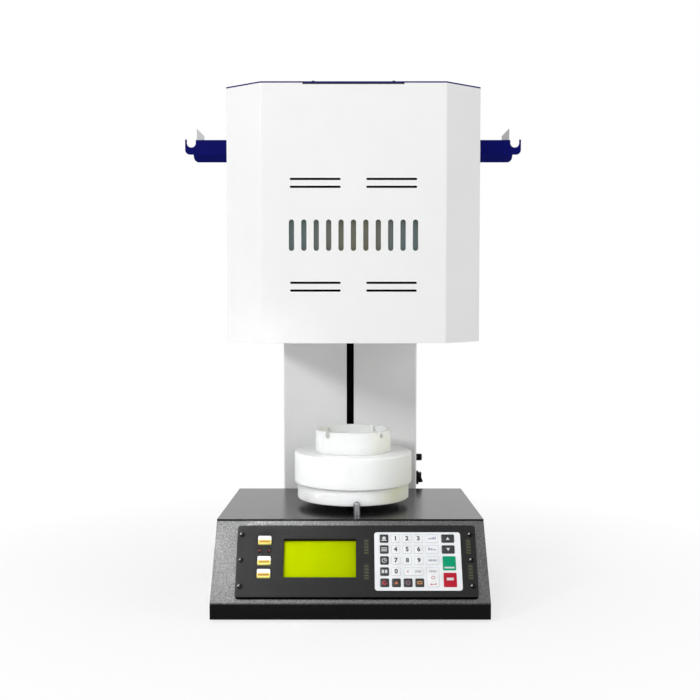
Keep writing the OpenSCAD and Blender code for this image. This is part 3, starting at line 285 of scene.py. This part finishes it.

# Inner casing: bare folded sheet behind the vents, with cooling air between it and the shell. Heat
# has stained it in its middle. Above and below the middle slots, behind the narrow vents, it is
# painted nearly black as painted shade.
casing_steel = bare_metal("casing_steel", (0.25, 0.255, 0.255), 0.5, (500, 500, 8))
slots_z = 0.548
where = place_on(casing_steel)
aside = calc(casing_steel, "ABSOLUTE", along(casing_steel, where, "X"))
stain = mix(casing_steel, remap(casing_steel, aside, 0.02, 0.07), (1, 0.96, 0.76, 1),
            (0.8, 1, 1, 1))
off = calc(casing_steel, "SUBTRACT", along(casing_steel, where, "Z"), slots_z)
# Painted shade: nearly black behind the narrow vents, away from the middle slots.
vent_shade_band = remap(casing_steel, calc(casing_steel, "ABSOLUTE", off), 0.022, 0.036, 1.0, 0.03)
stain_and_shade = mix(casing_steel, 1.0, stain, vent_shade_band, "MULTIPLY")
feed(casing_steel, {"Base Color": mix(casing_steel, 1.0, colour_of(casing_steel), stain_and_shade,
                                      "MULTIPLY")})
paint(casing_steel, "inner_casing")

# Hidden drive and boards: milled aluminium plates and carriage, a bronze nut, a stamped core with
# its wound coil, and printed boards on brass standoffs. The hearth's steel plate is black.
aluminium = bare_metal("milled_aluminium", (0.6, 0.61, 0.63), 0.35, (900, 60, 900))
paint(aluminium, "motor_plate", "screw_plates", "shaft_coupling", "carriage")
paint(bare_metal("nut_bronze", (0.6, 0.42, 0.16), 0.35), "lift_nut", "board_standoffs")
paint(bare_metal("core_laminations", (0.12, 0.12, 0.13), 0.55, (40, 40, 1400)),
      "transformer_core")
paint(moulded("coil_wrap", (0.35, 0.12, 0.03), 0.5), "transformer_coil")
paint(moulded("circuit_green", (0.01, 0.09, 0.025), 0.35), "control_board", "button_board")
paint(moulded("plate_black", (0.015, 0.015, 0.016), 0.5), "hearth_plate")

# Hearth disc, plug and tray: vacuum-formed ceramic fibre, fired and ground. It is off-white, quite
# matt, and a little uneven, with short fibres that show as a faint fleck. The right-facing side is
# painted darker and yellower, most of all below the seam of disc and plug: partly the fibre's own
# yellowing, partly painted shade on that side. Upright walls are painted 6% darker than the tops,
# as painted shade where the light falls from above.
seam_z = 0.165

def fired_fibre(name, light, shade, depth=0.00012):
    mat = new_finish(name)
    where, facing = place_on(mat), facing_on(mat)
    cloud = noise(mat, where, 18, 4)
    fleck = noise(mat, where, 420, 3)
    mixed = mix(mat, remap(mat, fleck, 0.6, 0.8, 0.0, 0.1),
                fade(mat, cloud, 0.3, shade, 0.62, light), (0.5, 0.48, 0.4, 1))
    # Right-facing side: partly the fibre's yellowing, partly painted shade.
    side = remap(mat, along(mat, facing, "X"), 0.25, 0.85)
    patch = remap(mat, cloud, 0.35, 0.55, 0.35, 1.0)
    low = remap(mat, along(mat, where, "Z"), seam_z, seam_z + 0.007, 1.0, 0.4)
    yellowing_and_shade = calc(mat, "MULTIPLY", calc(mat, "MULTIPLY", side, patch), low)
    yellowed_and_shaded = mix(mat, yellowing_and_shade, mixed, (0.86, 0.86, 0.6, 1))
    # Painted shade: upright walls a little darker than the tops.
    painted_wall_shade = remap(mat, along(mat, facing, "Z"), 0.3, 0.8, 0.94, 1.0)
    feed(mat, {"Base Color": mix(mat, 1.0, yellowed_and_shaded, painted_wall_shade, "MULTIPLY"),
               "Normal": relief(mat, fleck, 0.35, depth),
               "Roughness": 0.85, "Specular IOR Level": 0.3, "Subsurface Weight": 0.4,
               "Subsurface Radius": (1.0, 1.0, 0.95), "Subsurface Scale": 0.012})
    return mat

hearth_white = fired_fibre("hearth_white", (0.95, 0.965, 0.965), (0.91, 0.935, 0.925))
paint(hearth_white, "hearth_disc", "hearth_plug", "firing_tray")
paint(fired_fibre("chamber_fibre", (0.86, 0.83, 0.74), (0.8, 0.76, 0.66), 0.0003),
      "insulation_body", "insulation_lid")
paint(moulded("element_grey", (0.07, 0.07, 0.075), 0.6), "heating_elements")
paint(moulded("terminal_white", (0.7, 0.69, 0.65), 0.5), "element_terminals", "thermocouple")

# Control panel: a grey anodised plate on the sloped front. The slope rises at about 55 degrees,
# and everything on the panel is made flat and then laid on it with this matrix.
stand_x, lip_y, lip_top, slope_run, slope_rise = -0.0045, -0.235, 0.027, 0.075, 0.1034
panel_x, panel_drop, panel_h, panel_face = 0.009, 0.0009, 0.1125, 0.003
on_panel = (Matrix.Translation((stand_x, lip_y, lip_top))
            @ Matrix.Rotation(atan2(slope_rise, slope_run), 4, "X")
            @ Matrix.Translation((panel_x, hypot(slope_run, slope_rise) / 2 - panel_drop, 0)))

def dot(mat, vector, direction):
    return node_in(mat, "VectorMath", {0: vector, 1: direction},
                   operation="DOT_PRODUCT").outputs["Value"]

# The panel's edge faces and a thin strip along the foot of its face are painted black without
# gloss, as painted shade under the panel's lower edge.
panel_grey = new_finish("panel_grey")
brushed = node_in(panel_grey, "Mapping", {"Vector": place_on(panel_grey), "Scale": (6, 900, 900)})
tone = mix(panel_grey, noise(panel_grey, brushed.outputs[0], 1, 3), (0.013, 0.013, 0.0134, 1),
           (0.019, 0.019, 0.0194, 1))
outward, rise = (on_panel.to_3x3() @ Vector(way) for way in ((0, 0, 1), (0, 1, 0)))
front = remap(panel_grey, dot(panel_grey, facing_on(panel_grey), outward), 0.5, 0.9)
foot = on_panel.translation.dot(rise) - panel_h / 2
above_shade_strip = remap(panel_grey, dot(panel_grey, place_on(panel_grey), rise), foot + 0.0018,
                   foot + 0.0026)
face = calc(panel_grey, "MULTIPLY", front, above_shade_strip)
feed(panel_grey, {"Base Color": mix(panel_grey, face, (0.001, 0.001, 0.001, 1), tone),
                  "Specular IOR Level": remap(panel_grey, face, 0.0, 1.0, 0.0, 0.13),
                  "Roughness": 0.5})
paint(panel_grey, "control_panel")

# Panel screws: button heads in black oxide, driven through the panel into the slope. The upper
# left flank of each head is painted pale grey, as a painted highlight.
highlight_oxide = moulded("highlight_oxide", (0.002, 0.002, 0.002), 0.2, 900, 0.00001, 0.1)
highlight_facing = on_panel.to_3x3() @ Vector((-0.55, 0.3, 0.8)).normalized()
# Painted highlight: faces turned to the upper left are pale grey.
painted_highlight = remap(highlight_oxide, dot(highlight_oxide, facing_on(highlight_oxide), highlight_facing), 0.9, 0.97)
feed(highlight_oxide, {"Base Color": mix(highlight_oxide, painted_highlight, colour_of(highlight_oxide), (0.5, 0.5, 0.5, 1))})
paint(highlight_oxide, "panel_screws")

# Display: yellow-green backlit glass, sunk behind the panel in a black frame. Its light guide is a
# little brighter along the edges.
def lit_plastic(name, colour, glow, rough=0.3, gloss=0.2):
    mat = new_finish(name)
    tone = uneven(mat, noise(mat, place_on(mat), 25, 1), colour, 0.97, 1.0)
    feed(mat, {"Base Color": tone, "Emission Color": tone, "Emission Strength": glow,
               "Roughness": rough, "Specular IOR Level": gloss})
    return mat

def keep(bm, name, body, *mats):
    bmesh.ops.remove_doubles(bm, verts=bm.verts, dist=1e-7)
    mesh = bpy.data.meshes.new(name)
    bm.to_mesh(mesh)
    bm.free()
    mesh.shade_smooth()
    mesh.set_sharp_from_angle(angle=radians(32))
    obj = bpy.data.objects.new(name, mesh)
    bpy.context.collection.objects.link(obj)
    for mat in mats:
        mesh.materials.append(mat)
    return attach(obj, body)

def stamp(target, bm, place, material=0):
    for face in bm.faces:
        face.material_index += material
    bm.transform(place)
    piece = bpy.data.meshes.new("part")
    bm.to_mesh(piece)
    bm.free()
    target.from_mesh(piece)
    bpy.data.meshes.remove(piece)

def at(x, y, z=0):
    return on_panel @ Matrix.Translation((x, y, z))

def sheet(w, h):
    bm = bmesh.new()
    bmesh.ops.create_grid(bm, x_segments=1, y_segments=1, size=0.5,
                          matrix=Matrix.Diagonal((w, h, 1, 1)))
    return bm

display_w, display_h, display_x, display_y, display_low = 0.1055, 0.0586, -0.0533, 0.005, -0.003
window_gap, bright_edge, glass_lift = 0.0006, 0.0016, 0.00008
lcd = sheet(display_w - window_gap, display_h - window_gap)
bmesh.ops.inset_region(lcd, faces=lcd.faces, thickness=bright_edge)
for face in lcd.faces:
    face.material_index = 0 if face.calc_center_median().length < 0.001 else 1
lcd.transform(at(display_x, display_y, display_low + glass_lift))
display_yellow = lit_plastic("display_yellow", (0.39, 0.505, 0.0), 0.1, 0.8, 0)
fall_off = remap(display_yellow, along(display_yellow, place_on(display_yellow), "X"), -0.1, 0.0,
                 0.97, 0.92)
feed(display_yellow, {"Base Color": mix(display_yellow, 1.0, colour_of(display_yellow), fall_off,
                                        "MULTIPLY")})
display_edge = lit_plastic("display_edge", (0.56, 0.72, 0.03), 0.4, 0.8, 0)
keep(lcd, "display_light", "furnace", display_yellow, display_edge)
paint(lit_plastic("display_body", (0.44, 0.59, 0.0), 0.05, 0.8, 0), "display_glass")

# Window shade: the panel shades a thin band along the window's upper edge. A flat black strip on
# the panel, just above the opening, shows it.
shade_h, print_lift = 0.0024, 0.00005
shade = sheet(display_w + window_gap, shade_h)
shade.transform(at(display_x, display_y + (display_h + shade_h) / 2, panel_face + print_lift))
keep(shade, "window_shade", "furnace", moulded("shade_black", (0.001, 0.001, 0.001), 0.9))

# Push buttons: moulded white caps with an amber window low in each, lit from the board behind. The
# window is pale yellow, with a strip and a darker bar of amber across its upper part.
def rounded_block(w, h, low, high, corner, edge, rim=3):
    bm = bmesh.new()
    bmesh.ops.create_cube(bm, size=1, matrix=Matrix.Translation((0, 0, (low + high) / 2))
                          @ Matrix.Diagonal((w, h, high - low, 1)))
    upright = [e for e in bm.edges if abs(e.verts[0].co.z - e.verts[1].co.z) > 1e-6]
    bmesh.ops.bevel(bm, geom=upright, offset=corner, offset_type="OFFSET", segments=5,
                    profile=0.5, affect="EDGES", material=-1)
    if edge:
        top = [e for e in bm.edges if min(v.co.z for v in e.verts) > high - 1e-7]
        bmesh.ops.bevel(bm, geom=top, offset=edge, offset_type="OFFSET", segments=rim,
                        profile=0.5, affect="EDGES", material=-1)
    return bm

cap_finishes = [lit_plastic("white_cap", (0.86, 0.84, 0.8), 0.1),
                lit_plastic("amber_pale", (0.82, 0.72, 0.18), 0.1),
                lit_plastic("amber_light", (0.8, 0.5, 0.1), 0.08),
                lit_plastic("amber_bar", (0.42, 0.22, 0.015), 0.05)]
button_w, button_h, button_x, button_top = 0.0189, 0.0129, -0.1338, 0.006
collar_w, collar_h, collar_low, collar_top = button_w + 0.0016, button_h + 0.0016, -0.0013, -0.0003
window_top, strip_w, strip_lift = -0.0002, 0.0152, 0.0002
for name, y in (("button_top", 0.0322), ("button_middle", 0.0006), ("button_low", -0.0191)):
    cap = bmesh.new()
    block = rounded_block(button_w, button_h, collar_top, button_top, 0.0016, 0.0008, 4)
    bmesh.ops.bisect_plane(block, geom=block.verts[:] + block.edges[:] + block.faces[:],
                           plane_co=(0, window_top, 0), plane_no=(0, 1, 0))
    for face in block.faces:
        face.material_index = 1 if face.calc_center_median().y < window_top else 0
    stamp(cap, block, at(button_x, y))
    stamp(cap, rounded_block(collar_w, collar_h, collar_low, collar_top, 0.0015, 0),
          at(button_x, y))
    for strip_h, low, finish in ((0.0016, -0.0006, 2), (0.0027, -0.0027, 3)):
        strip = rounded_block(strip_w, strip_h, button_top - strip_lift, button_top + strip_lift,
                              0.0003, 0.00005, 1)
        stamp(cap, strip, at(button_x, y + low), finish)
    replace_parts(keep(cap, name + "_cap", name, *cap_finishes), name)

# Power switch rocker: a full-depth black rocker with two finger faces in a shallow V, tipped to
# its lower end on a cross pin between the housing's cheeks.
rocker = bmesh.new()
outline = [(-0.0034, -0.0079), (0.0042, -0.00855), (0.007, -0.0082), (0.0054, 0),
           (0.007, 0.0082), (0.0042, 0.00855), (-0.0034, 0.0079)]
rocker_w, pivot = 0.0108, (0.1123, 0.131, 0.1457)
rim = [rocker.verts.new((x, -rocker_w / 2, z)) for x, z in outline]
side = bmesh.ops.extrude_face_region(rocker, geom=[rocker.faces.new(rim)])
bmesh.ops.translate(rocker, verts=[v for v in side["geom"] if isinstance(v, bmesh.types.BMVert)],
                    vec=(0, rocker_w, 0))
bmesh.ops.recalc_face_normals(rocker, faces=rocker.faces)
bmesh.ops.bevel(rocker, geom=rocker.edges[:], offset=0.0006, offset_type="OFFSET", segments=2,
                profile=0.5, affect="EDGES", material=-1)
rocker.transform(Matrix.Translation(pivot) @ Matrix.Rotation(radians(-10), 4, "Y"))
rocker_gloss = moulded("rocker_gloss", (0.003, 0.003, 0.003), 0.2, gloss=0.2)
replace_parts(keep(rocker, "rocker_body", "rocker", rocker_gloss), "power_rocker")

# Indicator lights: two red 5 mm lamps, moulded domes with a smooth gloss. Each stands in a black
# moulded ring that lies on the panel.
def turned(outline, steps, closed=False):
    bm = bmesh.new()
    verts = [bm.verts.new((x, 0, z)) for x, z in outline]
    pairs = list(zip(verts, verts[1:])) + [(verts[-1], verts[0])] * closed
    edges = [bm.edges.new(pair) for pair in pairs]
    bmesh.ops.spin(bm, geom=verts + edges, cent=(0, 0, 0), axis=(0, 0, 1), angle=2 * pi,
                   steps=steps, use_merge=True)
    bmesh.ops.remove_doubles(bm, verts=bm.verts, dist=1e-7)
    bmesh.ops.recalc_face_normals(bm, faces=bm.faces)
    return bm

red_lens = new_finish("red_lens")
lens_cloud = noise(red_lens, place_on(red_lens), 300, 1)
feed(red_lens, {"Base Color": mix(red_lens, lens_cloud, (0.07, 0.004, 0.004, 1),
                                  (0.13, 0.008, 0.007, 1)),
                "Roughness": 0.08, "Coat Weight": 0.6})
paint(red_lens, "indicator_leds")
lamps_x, lamps_y, lamp_off = -0.134, 0.0166, 0.0068
ring_outline = [(0.00265, 0), (0.0039, 0), (0.0037, 0.0007), (0.0029, 0.0009), (0.00265, 0.0006)]
led_rings = bmesh.new()
for x in (lamps_x - lamp_off, lamps_x + lamp_off):
    stamp(led_rings, turned(ring_outline, 32, closed=True), at(x, lamps_y, panel_face))
keep(led_rings, "led_rings", "furnace", black_plastic)

# Keypad: a printed polyester film with embossed keys. White keys have a thin grey outline, black
# keys carry light signs, and start and stop are green and red.
film_top = panel_face + 0.0006
key_top, line_top, line_w = film_top + 0.0007, film_top + 0.00035, 0.00055
pad_x, pad_y, column_pitch, row_pitch = 0.0889, 0.0002, 0.0167, 0.017
paint(moulded("film_white", (0.82, 0.84, 0.86), 0.35, 1200, 0.00001), "keypad_film")
key_white, key_line, key_black, key_green, key_red = range(5)
key_finishes = [moulded("key_white", (0.86, 0.87, 0.88), 0.32, 1200, 0.00001),
                moulded("key_line", (0.55, 0.6, 0.62), 0.4),
                moulded("key_black", (0.014, 0.015, 0.016), 0.3, 1200, 0.00001),
                moulded("key_green", (0.0, 0.31, 0.15), 0.3, 1200, 0.00001, 0.15),
                moulded("key_red", (0.46, 0.012, 0.03), 0.3, 1200, 0.00001, 0.15)]

def column_x(column):
    return -0.0486 + column * column_pitch

def row_y(row):
    return 0.0348 - row * row_pitch

def on_pad(x, y, z=0):
    return at(pad_x + x, pad_y + y, z)

key_w, key_h, wide_w, double_w, tall_h, return_h = 0.0128, 0.013, 0.0188, 0.0275, 0.0216, 0.03
word_x, side_x = 0.021, 0.0444
white_keys = [(column_x(c), row_y(r), key_w, key_h) for r in range(3) for c in (1, 2, 3)]
white_keys += [(column_x(1), row_y(3), key_w, key_h)]
white_keys += [(word_x, row_y(r), wide_w, key_h) for r in range(3)]
white_keys += [(column_x(2.5), row_y(3), double_w, key_h)]
white_keys += [(word_x, row_y(3.5), wide_w - 0.001, return_h)]
black_keys = [(column_x(0), row_y(r), key_w, key_h) for r in range(5)]
black_keys += [(column_x(c), row_y(4), key_w, key_h) for c in (1, 2, 3)]
black_keys += [(side_x, row_y(r), wide_w, key_h) for r in (0, 1)]
start_key = (side_x + 0.0007, -0.0035, wide_w, tall_h)
stop_key = (side_x + 0.001, -0.0289, wide_w, tall_h)

keys = bmesh.new()
for x, y, w, h in white_keys:
    stamp(keys, rounded_block(w, h, film_top, line_top, 0.0016, 0.0001, 1), on_pad(x, y), key_line)
    stamp(keys, rounded_block(w - 2 * line_w, h - 2 * line_w, film_top, key_top, 0.0013, 0.0003, 2),
          on_pad(x, y), key_white)
for x, y, w, h in black_keys:
    stamp(keys, rounded_block(w, h, film_top, key_top, 0.0018, 0.0003, 2), on_pad(x, y), key_black)
for finish, (x, y, w, h) in ((key_green, start_key), (key_red, stop_key)):
    stamp(keys, rounded_block(w, h, film_top, key_top, 0.0014, 0.0003, 2), on_pad(x, y), finish)
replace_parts(keep(keys, "keys", "furnace", *key_finishes), "keypad_keys")

# Signs on the keys: digits and plain marks in eight inks, screen printed on the film. They lie on
# the keys' flat tops.
def ink(name, colour):
    return moulded(name, colour, 0.55, 2000, 0.000005)

dark, light, violet, red, orange, grey, plum, amber = range(8)
inks = [ink("ink_dark", (0.035, 0.04, 0.045)), ink("ink_light", (0.62, 0.64, 0.65)),
        ink("ink_violet", (0.2, 0.2, 0.36)), ink("ink_red", (0.5, 0.02, 0.05)),
        ink("ink_orange", (0.55, 0.16, 0.06)), ink("ink_grey", (0.3, 0.31, 0.33)),
        ink("ink_plum", (0.2, 0.1, 0.17)), ink("ink_amber", (0.6, 0.27, 0.08))]
ink_top = key_top + 0.00004
signs = bmesh.new()

def digit(text, x, y, size, colour):
    curve = bpy.data.curves.new("digit", "FONT")
    curve.body = text
    curve.size = size
    curve.align_x = "CENTER"
    curve.align_y = "CENTER"
    curve.resolution_u = 4
    curve.offset = size * 0.045
    holder = bpy.data.objects.new("digit", curve)
    bpy.context.collection.objects.link(holder)
    bpy.context.view_layer.update()
    flat = bmesh.new()
    flat.from_mesh(holder.to_mesh())
    bpy.data.objects.remove(holder)
    stamp(signs, flat, on_pad(x, y, ink_top), colour)

def printed(flat, x, y, colour, turn=0, lift=ink_top):
    stamp(signs, flat, on_pad(x, y, lift) @ Matrix.Rotation(radians(turn), 4, "Z"), colour)

def bar(x, y, w, h, colour, turn=0):
    printed(sheet(w, h), x, y, colour, turn)

def disc(x, y, r, colour, sides=24, turn=0):
    flat = bmesh.new()
    bmesh.ops.create_circle(flat, cap_ends=True, segments=sides, radius=r)
    printed(flat, x, y, colour, turn)

def loop(x, y, r, width, colour, sweep=360, turn=0, lift=ink_top):
    flat = bmesh.new()
    verts = [flat.verts.new((r - width / 2, 0, 0)), flat.verts.new((r + width / 2, 0, 0))]
    edge = flat.edges.new(verts)
    bmesh.ops.spin(flat, geom=verts + [edge], cent=(0, 0, 0), axis=(0, 0, 1),
                   angle=radians(sweep), steps=max(6, int(sweep / 12)), use_merge=sweep == 360)
    for face in flat.faces:
        if face.normal.z < 0:
            face.normal_flip()
    printed(flat, x, y, colour, turn, lift)

digit_size = 0.0092
for number in range(1, 10):
    digit(str(number), column_x((number - 1) % 3 + 1), row_y((number - 1) // 3), digit_size, dark)
digit("0", column_x(1), row_y(3), digit_size, dark)

# First column: a dome, a list, a clock and two squares
first_x = column_x(0)
disc(first_x, row_y(0) + 0.0004, 0.0028, light, 20)
bar(first_x, row_y(0) - 0.003, 0.0078, 0.0012, light)
for k in (-1, 0, 1):
    bar(first_x, row_y(1) + k * 0.0023, 0.0082, 0.0012, light)
loop(first_x, row_y(2), 0.0031, 0.0009, light)
bar(first_x, row_y(2) + 0.001, 0.0007, 0.0026, light)
bar(first_x + 0.0008, row_y(2), 0.002, 0.0007, light)
for k in (-1, 1):
    bar(first_x + k * 0.0023, row_y(3), 0.0034, 0.0052, light)

# Lower row: a loop, an arrow head, a ring and a frame
loop(first_x, row_y(4), 0.0025, 0.0017, red, 300, 60)
disc(column_x(1), row_y(4) - 0.0006, 0.0033, orange, 3)
loop(column_x(2), row_y(4), 0.0026, 0.0016, plum)
for k in (-1, 1):
    bar(column_x(3), row_y(4) + k * 0.0017, 0.0074, 0.0014, amber)
    bar(column_x(3) + k * 0.0031, row_y(4), 0.0012, 0.0048, amber)

# Side keys: the hearth's up and down arrows
disc(side_x, row_y(0) - 0.0006, 0.0032, light, 3)
disc(side_x, row_y(1) + 0.0006, 0.0032, light, 3, 180)

# Wide keys: rising, level and falling lines, short bars, a ring and a return arrow
for row, first, last in ((0, 0.0016, 0.0042), (1, 0.0042, 0.0016), (2, 0.003, 0.003)):
    for k in range(6):
        tall = first + (last - first) * k / 5
        bar(word_x + (k - 2.5) * 0.0021, row_y(row) + (tall - 0.003) / 2, 0.0013, tall, violet)
for way in (1, -1):
    bar(column_x(2) + 0.0001, row_y(3) + way * 0.0009, 0.0029, 0.0009, red, way * 38)
for k in range(-2, 3):
    bar(column_x(3) - 0.0016 + k * 0.0018, row_y(3), 0.0011, 0.0032, grey)
    bar(word_x + k * 0.0022, row_y(3) + 0.0002, 0.0013, 0.0034, grey)
loop(word_x, row_y(3.55), 0.0022, 0.0008, red)
bar(word_x + 0.0008, row_y(4.15), 0.0072, 0.0009, red)
bar(word_x + 0.004, row_y(4.15) + 0.0009, 0.0009, 0.0026, red)
disc(word_x - 0.0029, row_y(4.15), 0.0018, red, 3, 90)

# Start key: a light bar low down. Stop key: a light square
bar(start_key[0], start_key[1] - 0.0068, 0.0142, 0.0024, light)
bar(stop_key[0], stop_key[1] + 0.0012, 0.0098, 0.004, light)
keep(signs, "key_signs", "furnace", *inks)

# Printed marks beside display and keypad: four columns of five short arcs, each a black line with
# an olive one under it.
arc_r, arc_pitch = 0.0062, 0.0047
signs = bmesh.new()
for x, low in ((0.014, 0.0147), (0.014, -0.0244), (0.1626, 0.0146), (0.1641, -0.0244)):
    for k in range(5):
        arc_x, arc_y = x - pad_x, low + k * arc_pitch - pad_y
        loop(arc_x, arc_y - 0.0056, arc_r, 0.0026, 0, 72, 54, panel_face + print_lift)
        loop(arc_x, arc_y - 0.0079, arc_r, 0.0014, 1, 56, 58, panel_face + 0.00006)
keep(signs, "panel_arcs", "furnace", ink("ink_olive", (0.001, 0.001, 0.001)),
     ink("ink_pale_olive", (0.06, 0.06, 0.004)))

# Sheet screws: small pan heads, driven from behind. The cross slot is drawn as two black bars on
# the dome, as painted shade in the slot. Eight bare ones hold the column's back, and six in the
# navy enamel hold the head's back.
head_outline = [(0, 0.0019), (0.0016, 0.0018), (0.003, 0.0012), (0.0036, 0)]
slot_l, slot_w, slot_h, slot_z = 0.0036, 0.0007, 0.0006, 0.0017
to_back = Matrix.Rotation(radians(-90), 4, "X")
column_screw_x, column_back_y, head_screw_x, head_back_y = 0.105, 0.215, 0.174, 0.101

def pan_heads(name, mat, places):
    heads = bmesh.new()
    for place in places:
        head = turned(head_outline, 24)
        for turn in (20, 110):
            # Painted shade: each arm of the cross slot is a black bar laid on the dome.
            slot_shade = bmesh.new()
            bmesh.ops.create_cube(slot_shade, size=1, matrix=Matrix.Rotation(radians(turn), 4, "Z")
                                  @ Matrix.Translation((0, 0, slot_z))
                                  @ Matrix.Diagonal((slot_l, slot_w, slot_h, 1)))
            stamp(head, slot_shade, Matrix(), 1)
        stamp(heads, head, Matrix.Translation(place) @ to_back)
    keep(heads, name, "furnace", mat, rubber)

pan_heads("column_back_screws", steel,
          [(stand_x + side * column_screw_x, column_back_y, z) for side in (-1, 1)
           for z in (0.03, 0.255, 0.48, 0.705)])
pan_heads("head_back_screws", navy,
          [(side * head_screw_x, head_back_y, z) for side in (-1, 1)
           for z in (0.412, 0.58, 0.748)])
